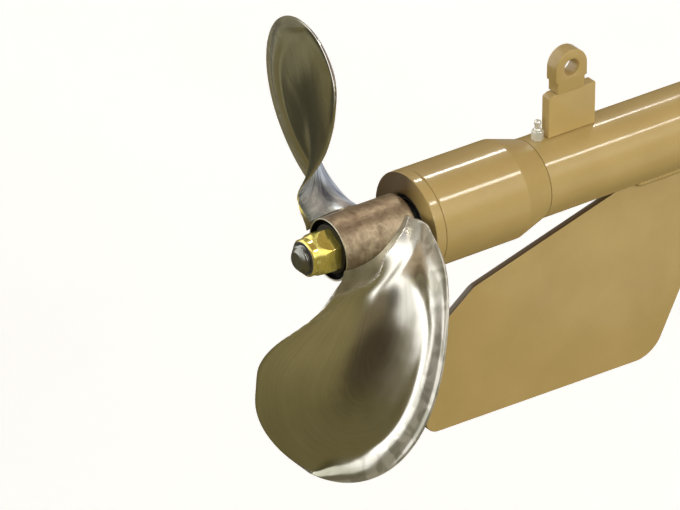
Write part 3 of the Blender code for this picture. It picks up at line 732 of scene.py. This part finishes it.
# %% Input splines
SPLINE_COUNT, SPLINE_DEPTH = 18, 0.0019
FLANK_LEAN = 0.2
AFT_INSET, FORE_INSET = 0.001, 0.0002
spline_places = []
for k in range(SPLINE_COUNT * 4):
    turn = math.tau * (k + (FLANK_LEAN if k % 2 else -FLANK_LEAN)) / (SPLINE_COUNT * 4)
    radius = coupling_radius if k % 4 < 2 else coupling_radius - SPLINE_DEPTH
    spline_places.append((coupling_aft + AFT_INSET, radius * math.sin(turn),
                          SHAFT_Z + radius * math.cos(turn)))
splines = drawn("input_splines", spline_places, "NGON")
extrude(splines, (COUPLING_LENGTH - AFT_INSET - FORE_INSET, 0.0, 0.0))
soften(splines, 0.0003, 2)
settle(splines, turned_steel, "propeller", None)

# %% [markdown]
# ## Propeller hub
# The hub is a short turned barrel. Its aft end is bored out round the washer and nut, which
# leaves a thin lip that catches the light, and its forward end just clears the seal cap.

# %% Hub
RECESS_DEPTH = 0.005
shoulder = seat + SHAFT_RADIUS - THREAD_RADIUS - GAP
hub = turned("hub_barrel", [
    (hub_aft + RECESS_DEPTH, THREAD_RADIUS + GAP), (hub_aft + RECESS_DEPTH, RECESS_RADIUS),
    (hub_aft, RECESS_RADIUS), (hub_aft, hub_radius), (hub_fore, hub_radius),
    (hub_fore, SHAFT_RADIUS + GAP), (shoulder, SHAFT_RADIUS + GAP),
    (seat - GAP, THREAD_RADIUS + GAP),
], 128)
soften(hub, 0.0008)
settle(hub, hub_steel, "propeller", "prop_hub", 25.0)

# %% [markdown]
# A flat washer lies at the bottom of the recess, under the nut. Its near-black colour is painted
# shade.

# %% Washer
washer_aft, washer_fore, washer_radius = station("prop_washer")
washer = ring("hub_washer", washer_aft, washer_fore, THREAD_RADIUS + GAP, washer_radius)
soften(washer, 0.0004)
settle(washer, washer_shade_black, "propeller", "prop_washer")

# %% [markdown]
# ## Locknut
# A hexagon whose corners are turned off on a lathe gets a curved scallop on each flat. That
# is how it is made here: a six-sided prism is intersected with a turned blank, the round
# collar is added, and the bore is cut through both.

# %% Nut
NUT_ACROSS_FLATS = 0.030
COLLAR_LENGTH, COLLAR_RADIUS, COLLAR_CHAMFER = 0.006, 0.014, 0.0012
INSERT_LENGTH, INSERT_RADIUS = 0.003, 0.0124
OVERLAP, CLEAR = 0.002, 0.0002
hex_aft = nut_aft + COLLAR_LENGTH
corner_radius = NUT_ACROSS_FLATS / math.sqrt(3.0)
hex_middle = ((hex_aft + nut_fore) / 2.0, 0.0, SHAFT_Z)
nut = cylinder("hex_nut", 6, corner_radius, nut_fore - hex_aft, hex_middle)
edit_all()
bpy.ops.transform.rotate(
    value=math.radians(30.0), orient_axis="X", center_override=(0.0, 0.0, SHAFT_Z)
)
bpy.ops.object.mode_set(mode="OBJECT")
blank = turned("turned_blank", [
    (hex_aft, 0.0), (hex_aft, 0.0143), (hex_aft + 0.0030, 0.0156),
    (hex_aft + 0.0100, corner_radius + CLEAR), (nut_fore - 0.0005, corner_radius + CLEAR),
    (nut_fore, corner_radius - 0.0005), (nut_fore, 0.0),
])
combine(nut, blank, "INTERSECT")
collar = turned("collar", [
    (nut_aft, 0.0), (nut_aft, COLLAR_RADIUS - COLLAR_CHAMFER),
    (nut_aft + COLLAR_CHAMFER, COLLAR_RADIUS), (hex_aft + OVERLAP, COLLAR_RADIUS),
    (hex_aft + OVERLAP, 0.0),
])
combine(nut, collar, "UNION")
bore = turned("bore", [
    (nut_aft - OVERLAP, 0.0), (nut_aft - OVERLAP, INSERT_RADIUS + GAP),
    (nut_aft + INSERT_LENGTH + GAP, INSERT_RADIUS + GAP),
    (nut_aft + INSERT_LENGTH + GAP, THREAD_RADIUS + GAP),
    (nut_fore + OVERLAP, THREAD_RADIUS + GAP), (nut_fore + OVERLAP, 0.0),
])
combine(nut, bore, "DIFFERENCE")
soften(nut, 0.00035, 2, 20.0)
settle(nut, plated, "propeller", "lock_nut", 20.0)

# %% Nylon ring of the nut
insert = ring("nut_ring", nut_aft, nut_aft + INSERT_LENGTH, THREAD_RADIUS + GAP, INSERT_RADIUS)
soften(insert, 0.0004)
settle(insert, insert_grey, "propeller", "nut_insert")

# %% [markdown]
# ## Propeller blades
# A blade is a curved, swept sheet whose chord, sweep and cup change with its height. The law
# is the one that shaped the solid: each height has half a chord and a sweep, and the point is
# wrapped round the hub on its own cylinder. The starting piece is a grid that runs up the
# blade one way and round its section the other way. The plate thins towards the rim by the
# true distance to the outline, so that the rim is an even rounded lip all the way round.

# %% The blade's law
TIP_RADIUS = 0.1828
PITCH = 0.225
BLADE_MIDDLE_X = hub_fore - 0.0305
BLADE_ANGLE = math.radians(59.0)
ROOT_THICKNESS, BODY_THICKNESS, EDGE_THICKNESS = 0.0075, 0.0045, 0.0022
FLARE_HEIGHT = 0.016
AFT_FILLET, FORE_FILLET, FILLET_END_SHARE = 0.0085, 0.002, 0.75
TIP_FULLNESS = 4.0
TIP_RAKE = -0.0085
AFT_CUP, FORE_CUP = (0.0192, 0.0048), (0.0070, -0.0021)
STATION_HEIGHT = (0.00, 0.06, 0.15, 0.35, 0.55, 0.75, 1.00)
HALF_CHORD = (0.0328, 0.0430, 0.0580, 0.0843, 0.0942, 0.0992, 0.1106)
SWEEP = (0.0072, 0.0030, -0.0062, -0.0345, -0.0773, -0.1239, -0.1933)
ROOT_RADIUS = hub_radius + GAP
print(f"blade tip radius {TIP_RADIUS * 1000:.1f} mm, pitch {PITCH * 1000:.0f} mm")


def smooth_curve(values, height):
    """A smooth curve through the stations, with slopes taken from their neighbours."""
    k = 0
    while k < len(STATION_HEIGHT) - 2 and height > STATION_HEIGHT[k + 1]:
        k += 1

    def slope(i):
        low, high = max(i - 1, 0), min(i + 1, len(values) - 1)
        return (values[high] - values[low]) / (STATION_HEIGHT[high] - STATION_HEIGHT[low])

    span = STATION_HEIGHT[k + 1] - STATION_HEIGHT[k]
    t = (height - STATION_HEIGHT[k]) / span
    return (
        (2 * t**3 - 3 * t**2 + 1) * values[k]
        + (t**3 - 2 * t**2 + t) * span * slope(k)
        + (3 * t**2 - 2 * t**3) * values[k + 1]
        + (t**3 - t**2) * span * slope(k + 1)
    )


def flat_place(height, across):
    """Radius and distance along the chord line of a point of the blade's outline drawing."""
    closing = math.sqrt(max(1.0 - height**TIP_FULLNESS, 0.0))
    along = smooth_curve(SWEEP, height) + smooth_curve(HALF_CHORD, height) * closing * across
    return ROOT_RADIUS + (TIP_RADIUS - ROOT_RADIUS) * height, along, closing


# %% [markdown]
# How near the rim a point is, is measured on the blade's flat drawing, to many points set
# along its outline.

# %% Distance to the rim
RIM_SAMPLES = 900
rim = kdtree.KDTree(2 * RIM_SAMPLES)
for k in range(RIM_SAMPLES):
    height = 1.0 - (1.0 - k / (RIM_SAMPLES - 1)) ** 2
    for side in (-1.0, 1.0):
        radius, along, _ = flat_place(height, side)
        rim.insert((radius, along, 0.0), k)
rim.balance()
print("points on the rim:", 2 * RIM_SAMPLES)

# %% [markdown]
# The forward rim of such a blade is beaten over a former, to stiffen it against weed and mud.
# It shows as a low ridge a little way in from the rim, and a bead where the rim curls up.
# Both are heights that fade in and out across the blade, so they are added to its middle.

# %% The rolled lip and the bead on the rim
LIP_HEIGHT = 0.0022
LIP_CREST_LOW, LIP_CREST_HIGH, LIP_CREST_TIP = 0.38, 0.58, 0.74
LIP_REACH = 0.26
BEAD_HEIGHT = 0.0018
BEAD_WIDTH = 0.012


def fade(value, start, end):
    """0 before start and 1 past end, with a soft curve between."""
    share = min(max((value - start) / (end - start), 0.0), 1.0)
    return share * share * (3.0 - 2.0 * share)


def contour(height, across):
    """0 up the middle of the blade and 1 on its rim, with even curves between."""
    return 1.0 - (1.0 - across**2) * (1.0 - height**6)


def lip_rise(height, across):
    """How far the low ridge inside the forward rim and the tip stands proud on the aft face."""
    crest = LIP_CREST_LOW + (LIP_CREST_HIGH - LIP_CREST_LOW) * fade(height, 0.15, 0.50)
    crest += (LIP_CREST_TIP - LIP_CREST_HIGH) * fade(height, 0.78, 0.93)
    away = abs(contour(height, across) - crest) / LIP_REACH
    swell = 0.5 + 0.5 * math.cos(math.pi * min(away, 1.0))
    return LIP_HEIGHT * swell * fade(across, 0.10, 0.45) * fade(height, 0.10, 0.35)


def bead_rise(height, across, from_rim, tip_bead):
    """The rim curls up along the forward edge, and by tip_bead round the other side of the tip."""
    side = fade(across, -0.05, 0.45) * fade(height, 0.05, 0.20)
    side = max(side, tip_bead * fade(height, 0.70, 0.84))
    return BEAD_HEIGHT * side * max(1.0 - from_rim / BEAD_WIDTH, 0.0) ** 2


# %% The blade's section and the wrap round the hub
RIM_ROUND = 0.0016
RIM_TAPER = 0.030


def half_section(radius, across, fillet, from_rim):
    """Half the blade's thickness on one face."""
    flare = max(1.0 - (radius - ROOT_RADIUS) / FLARE_HEIGHT, 0.0) ** 2
    body = BODY_THICKNESS + (ROOT_THICKNESS - BODY_THICKNESS) * flare
    thin = min(1.0 - across**4, fade(from_rim, 0.0, RIM_TAPER))
    sheet = EDGE_THICKNESS + (body - EDGE_THICKNESS) * thin
    edge = math.sqrt(1.0 - (1.0 - min(from_rim / RIM_ROUND, 1.0)) ** 2)
    swell = fillet * flare * (1.0 - (1.0 - FILLET_END_SHARE) * across**2)
    return (sheet / 2.0 + swell) * edge


def blade_place(height, across, face, tip_bead):
    """Where a point of the blade goes: face is 1 on the aft face and -1 on the forward one."""
    radius, along, closing = flat_place(height, across)
    root, tip = AFT_CUP if across < 0.0 else FORE_CUP
    from_rim = rim.find((radius, along, 0.0))[2]
    middle = (root + (tip - root) * height) * closing * across**2
    middle += lip_rise(height, across) + bead_rise(height, across, from_rim, tip_bead)
    fillet = AFT_FILLET if face > 0 else FORE_FILLET
    offset = middle + face * half_section(radius, across, fillet, from_rim)
    helix = math.atan2(PITCH, math.tau * radius)
    turn = BLADE_ANGLE + (along * math.cos(helix) + offset * math.sin(helix)) / radius
    x = BLADE_MIDDLE_X + TIP_RAKE * height**2 + along * math.sin(helix) - offset * math.cos(helix)
    return Vector((x, radius * math.sin(turn), radius * math.cos(turn)))


# %% [markdown]
# The grid's points are put on the law one by one. Its UV map keeps two numbers of each point:
# how near the rim it is and how far round the blade, so that the polishing arcs can follow
# the edge. Four more maps tell the finish where the linished root ends, where the forward rim
# was beaten over its former, where the tip is worn dull, and where the back of the root is
# only brushed and carries a bluish painted reflection.

# %% Make the blades
FACE_COLUMNS = 80
BLADE_ROWS = 150
ROW_CROWDING = 1.7
SEAM_LOW, SEAM_RISE, SEAM_FORE_FACE = 0.0023, 0.0088, 0.0015


def seam_height(across, face):
    """How far up the blade the linished fillet goes: on the aft face, it is low forward."""
    return SEAM_LOW + SEAM_RISE * fade(across, 0.04, -0.30) if face > 0.0 else SEAM_FORE_FACE


def finish_maps(height, across, face, beating):
    """What each of BLADE_MAPS is at a point of the blade."""
    reach = (flat_place(height, across)[0] - ROOT_RADIUS) / seam_height(across, face)
    beaten = fade(across, 0.05, 0.45) * fade(contour(height, across), 0.35, 0.60)
    worn = fade(height, 0.85, 0.92) * fade(across, 0.90, 0.60) * fade(across, -0.05, 0.15)
    brushed_blue_sheen = fade(height, 0.32, 0.16) if face < 0.0 else 0.0
    return reach, beating * beaten, beating * worn, brushed_blue_sheen


def make_blade(name, node, half_turn, beating, tip_bead):
    """One blade. The second is turned half round the shaft, and was beaten harder."""
    deselect_all()
    bpy.ops.mesh.primitive_grid_add(
        x_subdivisions=2 * FACE_COLUMNS, y_subdivisions=BLADE_ROWS, size=2.0, calc_uvs=True
    )
    piece = bpy.context.object
    piece.name = name
    sign = -1.0 if half_turn else 1.0
    maps, arcs = [], []
    for vertex in piece.data.vertices:
        round_section = (vertex.co.x + 1.0) * math.pi
        up = (vertex.co.y + 1.0) / 2.0
        height = min(1.0 - (1.0 - up) ** ROW_CROWDING, 0.99999)
        across = -math.cos(round_section)
        face = 1.0 if vertex.co.x < 0.0 else -1.0
        place = blade_place(height, across, face, tip_bead)
        vertex.co = (place.x, sign * place.y, SHAFT_Z + sign * place.z)
        maps.append(finish_maps(height, across, face, beating))
        closing = flat_place(height, across)[2]
        level = math.sqrt(1.0 - (1.0 - across**2) * (1.0 - height**TIP_FULLNESS))
        arcs.append((level, math.atan2(across * closing, height + 0.25) * face / 3.0))
    for key, values in zip(BLADE_MAPS, zip(*maps)):
        attribute = piece.data.attributes.new(key, "FLOAT", "POINT")
        attribute.data.foreach_set("value", values)
    layer = piece.data.uv_layers.active.data
    for loop in piece.data.loops:
        layer[loop.index].uv = arcs[loop.vertex_index]
    edit_all()
    bpy.ops.mesh.remove_doubles(threshold=MERGE_DISTANCE)
    bpy.ops.mesh.select_all(action="DESELECT")
    bpy.ops.mesh.select_non_manifold(extend=False)
    bpy.ops.mesh.edge_face_add()
    close_up(piece)
    settle(piece, polished, "propeller", node, 40.0)


make_blade("upper_blade", "blade_upper", False, 0.35, 1.0)
make_blade("lower_blade", "blade_lower", True, 1.0, 0.0)

# %% [markdown]
# ## Skeg
# The skeg is one flame-cut plate, welded along the bottom of the tube. Its outline is drawn
# corner by corner, each free corner is bevelled into an arc, and the whole is extruded to the
# plate's thickness. The edges are only broken, as a grinder leaves them.

# %% Skeg plate
SKEG_TOP = SHAFT_Z - tube_radius - GAP
SKEG_HALF_THICKNESS = 0.003
SKEG_ROUNDINGS = {2: 0.012, 3: 0.012, 4: 0.012, 5: 0.024}
skeg_corners = [
    (cap_aft + 0.305, SKEG_TOP), (cap_aft + 0.205, SKEG_TOP),
    (cap_aft + 0.0592, SHAFT_Z - 0.0730), (cap_aft + 0.021, SHAFT_Z - 0.1029),
    (cap_aft + 0.0165, SHAFT_Z - 0.1851), (cap_aft + 0.228, SHAFT_Z - 0.1897),
]
skeg = plate("skeg", skeg_corners, SKEG_HALF_THICKNESS, SKEG_ROUNDINGS)
soften(skeg, 0.0007, 3, 50.0)
settle(skeg, plate_paint, "lower_unit", "skeg_plate", 30.0)

# %% [markdown]
# ## Weld beads
# A bead is a row of overlapping puddles. A cylinder is laid along the joint and cut into many
# rings, and each ring swells and shrinks a little, with a tilt, so that the ripples show.

# %% Beads along the skeg
RIPPLE = 0.0035
WELD_RADIUS, WELD_SIDE, WELD_DROP = 0.0036, 0.0062, 0.0322
weld_low, weld_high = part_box("skeg_weld_port")


def bead(name, side, node):
    """One weld bead, on the port side if side is 1 and on the starboard side if it is -1."""
    start, length = weld_low.x, weld_high.x - weld_low.x
    piece = cylinder(name, 20, 1.0, length, (start + length / 2.0, 0.0, 0.0))
    unselect("EDGE")
    points = piece.data.vertices
    for edge in piece.data.edges:
        first, second = (points[i].co for i in edge.vertices)
        edge.select = abs(first.x - second.x) > length / 2.0
    bpy.ops.object.mode_set(mode="EDIT")
    bpy.ops.mesh.subdivide(number_cuts=int(length / RIPPLE * 6.0))
    bpy.ops.object.mode_set(mode="OBJECT")
    for vertex in points:
        swell = abs(math.sin(math.pi * vertex.co.x / RIPPLE + 0.5 * vertex.co.y))
        end = min(vertex.co.x - start, start + length - vertex.co.x) / WELD_RADIUS
        end = 0.55 + 0.45 * math.sqrt(min(max(end, 0.0), 1.0))
        size = WELD_RADIUS * (0.86 + 0.12 * swell) * end
        y, z = side * WELD_SIDE, SHAFT_Z - WELD_DROP
        vertex.co = (vertex.co.x, y + vertex.co.y * size, z + vertex.co.z * size)
    close_up(piece)
    settle(piece, paint, "lower_unit", node, 60.0)


bead("skeg_bead_port", 1.0, "skeg_weld_port")
bead("skeg_bead_starboard", -1.0, "skeg_weld_starboard")

# %% [markdown]
# ## Grease fitting
# A hexagonal base is screwed into the top of the tube, with a ball-ended nipple on it. The
# base is a six-sided cylinder with its top corners turned off in the same way as the nut.

# %% Grease fitting
base_low, base_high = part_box("grease_base")
base_centre = (base_low + base_high) / 2.0
base_radius = (base_high.y - base_low.y) / 2.0
tall = base_high.z - base_low.z
grease_hex = cylinder("grease_hex", 6, base_radius, tall, base_centre, UPRIGHT)
blank = turned("fitting_blank", [
    (0.0, 0.0), (0.0, base_radius), (tall - 0.0010, base_radius + CLEAR),
    (tall, base_radius - 0.0009), (tall, 0.0),
], 64, (base_centre.x, base_centre.y, base_low.z))
combine(grease_hex, blank, "INTERSECT")
soften(grease_hex, 0.0002, 2, 20.0)
settle(grease_hex, fitting_steel, "lower_unit", "grease_base", 20.0)

nip_low, nip_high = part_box("grease_nipple")
nipple = turned("grease_ball", [
    (0.0, 0.0), (0.0, 0.0027), (0.0006, 0.0028), (0.0010, 0.0024), (0.0018, 0.0021),
    (0.0034, 0.0021), (0.0041, 0.0024), (0.0049, 0.0028), (0.0062, 0.0028),
    (0.0070, 0.0025), (0.0077, 0.0018), (0.0080, 0.0010), (0.0076, 0.0005), (0.0074, 0.0),
], 48, ((nip_low.x + nip_high.x) / 2.0, 0.0, nip_low.z))
settle(nipple, fitting_steel, "lower_unit", "grease_nipple", 40.0)

# %% [markdown]
# ## Trim lug and eye
# A plate stands on the tube and carries an eye for the rod that trims the drive. Both are
# outlines in the upright plane. The eye's bore is cut with one drill, and both are softened.

# %% Lug and eye
LUG_CUT = (0.004, 0.002)
lug_low, lug_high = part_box("trim_lug")
lug = plate("lug", [
    (lug_low.x, lug_low.z), (lug_high.x, lug_low.z), (lug_high.x, lug_high.z),
    (lug_low.x + LUG_CUT[0], lug_high.z), (lug_low.x, lug_high.z - LUG_CUT[1]),
], (lug_high.y - lug_low.y) / 2.0)
soften(lug, 0.0006)
settle(lug, paint, "lower_unit", "trim_lug", 30.0)

EYE_NECK, EYE_SHOULDER, EYE_BORE = 0.0242, 0.0092, 0.0065
ARC_STEPS = 32
eye_low, eye_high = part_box("trim_eye")
eye_radius = (eye_high.x - eye_low.x) / 2.0
eye_x = (eye_low.x + eye_high.x) / 2.0
eye_z = eye_high.z - eye_radius
shoulder_z = eye_low.z + EYE_SHOULDER
neck_aft, neck_fore = eye_x - EYE_NECK / 2.0, eye_x + EYE_NECK / 2.0
eye_corners = [
    (eye_x - eye_radius, shoulder_z), (neck_aft, shoulder_z), (neck_aft, eye_low.z),
    (neck_fore, eye_low.z), (neck_fore, shoulder_z), (eye_x + eye_radius, shoulder_z),
]
for k in range(ARC_STEPS + 1):
    turn = math.pi * k / ARC_STEPS
    eye_corners.append((eye_x + eye_radius * math.cos(turn), eye_z + eye_radius * math.sin(turn)))
eye = plate("eye", eye_corners, (eye_high.y - eye_low.y) / 2.0)
drill = cylinder("drill", 64, EYE_BORE, DRILL_LENGTH, (eye_x, 0.0, eye_z), ALONG_Y)
combine(eye, drill, "DIFFERENCE")
soften(eye, 0.0008, 3, 40.0)
settle(eye, paint, "lower_unit", "trim_eye", 30.0)

# %% [markdown]
# ## What stays hidden
# The two bearings sit inside the barrel and keep the solid's own shape. They still get the
# finish of turned steel, so that a cut-away view shows metal.

# %% Hidden bearings
for name in ("aft_bearing", "fore_bearing"):
    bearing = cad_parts[name]
    bearing.data.materials.clear()
    bearing.data.materials.append(turned_steel)
    print(f"{name} keeps its own shape")

# %% [markdown]
# ## Floor, sky and lights
# Polished steel shows what surrounds it, so the surroundings matter as much as the lamps. The
# blades mirror a room that is dark olive ground low down and pale from a little above the
# horizon, with soft round panels where the photograph asks for a brighter or darker area. The
# camera itself sees a plain pale backdrop and floor, and the metal doesn't mirror that floor.

# %% Floor
FLOOR_Z = -0.55
deselect_all()
bpy.ops.mesh.primitive_plane_add(size=60.0, location=(0.0, 0.0, FLOOR_Z))
floor = bpy.context.object
floor.name = "studio_floor"
pale, tree, shader = new_finish("pale_floor")
tone = noise(tree, spot(tree), 3.0, 3.0)
tone = ramp(tree, tone, (0.3, (0.90, 0.90, 0.89)), (0.7, (0.94, 0.94, 0.935)))
dress(shader, Base_Color=tone, Roughness=0.9,
      Emission_Strength=0.40, Emission_Color=(1.0, 1.0, 1.0))
floor.data.materials.append(pale)
floor.visible_glossy = floor.visible_diffuse = False
print("floor at z", FLOOR_Z)

# %% World
FAR_WALL = (0.155, 0.125, 0.068)
# Elevation and colour of the room, from straight down to straight up.
ROOM = (
    (-90, (0.135, 0.115, 0.048)), (-20, (0.135, 0.115, 0.047)), (0, (0.15, 0.125, 0.058)),
    (12, (0.22, 0.20, 0.12)), (22, (1.65, 1.63, 1.54)), (42, (1.70, 1.68, 1.60)),
    (58, (0.60, 0.58, 0.55)), (90, (0.32, 0.30, 0.29)),
)
# Azimuth and elevation of each panel, the degrees that it is full and gone at, and its colour.
PANELS = (
    (15, 45, 38, 60, (0.30, 0.21, 0.15)), (-135, -45, 20, 55, (0.22, 0.185, 0.080)),
    (-172, 8, 17, 27, FAR_WALL), (-167, 14, 14, 21, FAR_WALL),
    (176, -8, 9, 22, (0.060, 0.045, 0.026)), (76, -31, 9, 16, (0.045, 0.042, 0.024)),
    (129, 6, 20, 27, (1.75, 1.75, 1.70)), (-44, -16, 12, 20, (0.52, 0.56, 0.60)),
    (28, -10, 17, 25, (0.52, 0.55, 0.60)), (158, 12, 4, 12, (0.95, 0.94, 0.88)),
    (172, 20, 6, 12, (0.10, 0.09, 0.06)), (97, -35, 4, 9, (0.20, 0.185, 0.105)),
)

world = bpy.data.worlds.new("studio")
scene.world = world
world.use_nodes = True
sky = world.node_tree
direction = add(sky, "ShaderNodeTexCoord").outputs["Generated"]
upward = maths(sky, "MULTIPLY", one_axis(sky, "Generated", "Z"), 0.5)
stops = [(0.5 + 0.5 * math.sin(math.radians(rise)), colour) for rise, colour in ROOM]
room = ramp(sky, maths(sky, "ADD", upward, 0.5), *stops)
for azimuth, elevation, full, gone, colour in PANELS:
    facing = measure(sky, "DOT_PRODUCT", direction, toward(azimuth, elevation))
    limits = {"Value": facing, "From Min": math.cos(math.radians(gone)),
              "From Max": math.cos(math.radians(full))}
    share = add(sky, "ShaderNodeMapRange", limits, interpolation_type="SMOOTHSTEP").outputs[0]
    room = blend(sky, share, room, colour)
ray = add(sky, "ShaderNodeLightPath").outputs
room = blend(sky, ray["Is Camera Ray"], room, (0.98, 0.98, 0.97))
strength = maths(sky, "SUBTRACT", 1.0, maths(sky, "MULTIPLY", ray["Is Diffuse Ray"], 0.67))
dress(sky.nodes["Background"], Color=room, Strength=strength)
print("the room has", len(ROOM), "tones and", len(PANELS), "panels")

# %% [markdown]
# Two small lamps make the thin bright lines along the barrel. A third is seen only as a glint
# on the nut. Three broad ones fill the shadows of the paint, and the metal doesn't mirror them.

# %% Lamps
LAMP_DISTANCE = 3.0
# Azimuth, elevation, strength, width in degrees, colour, seen in metal, lights matte faces.
LAMPS = {
    "lamp_far_side": (39.5, 48.5, 0.32, 5.0, (1.0, 0.97, 0.90), True, True),
    "lamp_near_side": (-43.3, 44.5, 0.24, 5.0, (1.0, 0.97, 0.90), True, True),
    "lamp_on_nut": (-79.0, 25.0, 0.30, 6.0, (1.0, 0.97, 0.90), True, False),
    "soft_fill": (-78.0, 14.0, 1.95, 40.0, (1.0, 0.98, 0.93), False, True),
    "aft_fill": (-168.0, 8.0, 1.4, 40.0, (1.0, 0.98, 0.90), False, True),
    "port_fill": (105.0, 8.0, 1.0, 40.0, (1.0, 0.98, 0.94), False, True),
}
for name, (azimuth, elevation, energy, width, colour, in_metal, on_matte) in LAMPS.items():
    data = bpy.data.lights.new(name, "SUN")
    data.energy, data.angle, data.color = energy, math.radians(width), colour
    lamp = bpy.data.objects.new(name, data)
    scene.collection.objects.link(lamp)
    away = toward(azimuth, elevation)
    lamp.location = away * LAMP_DISTANCE
    aim(lamp, -away)
    lamp.visible_glossy, lamp.visible_diffuse = in_metal, on_matte
print("lamps:", list(LAMPS))
scene.view_settings.view_transform = "Standard"
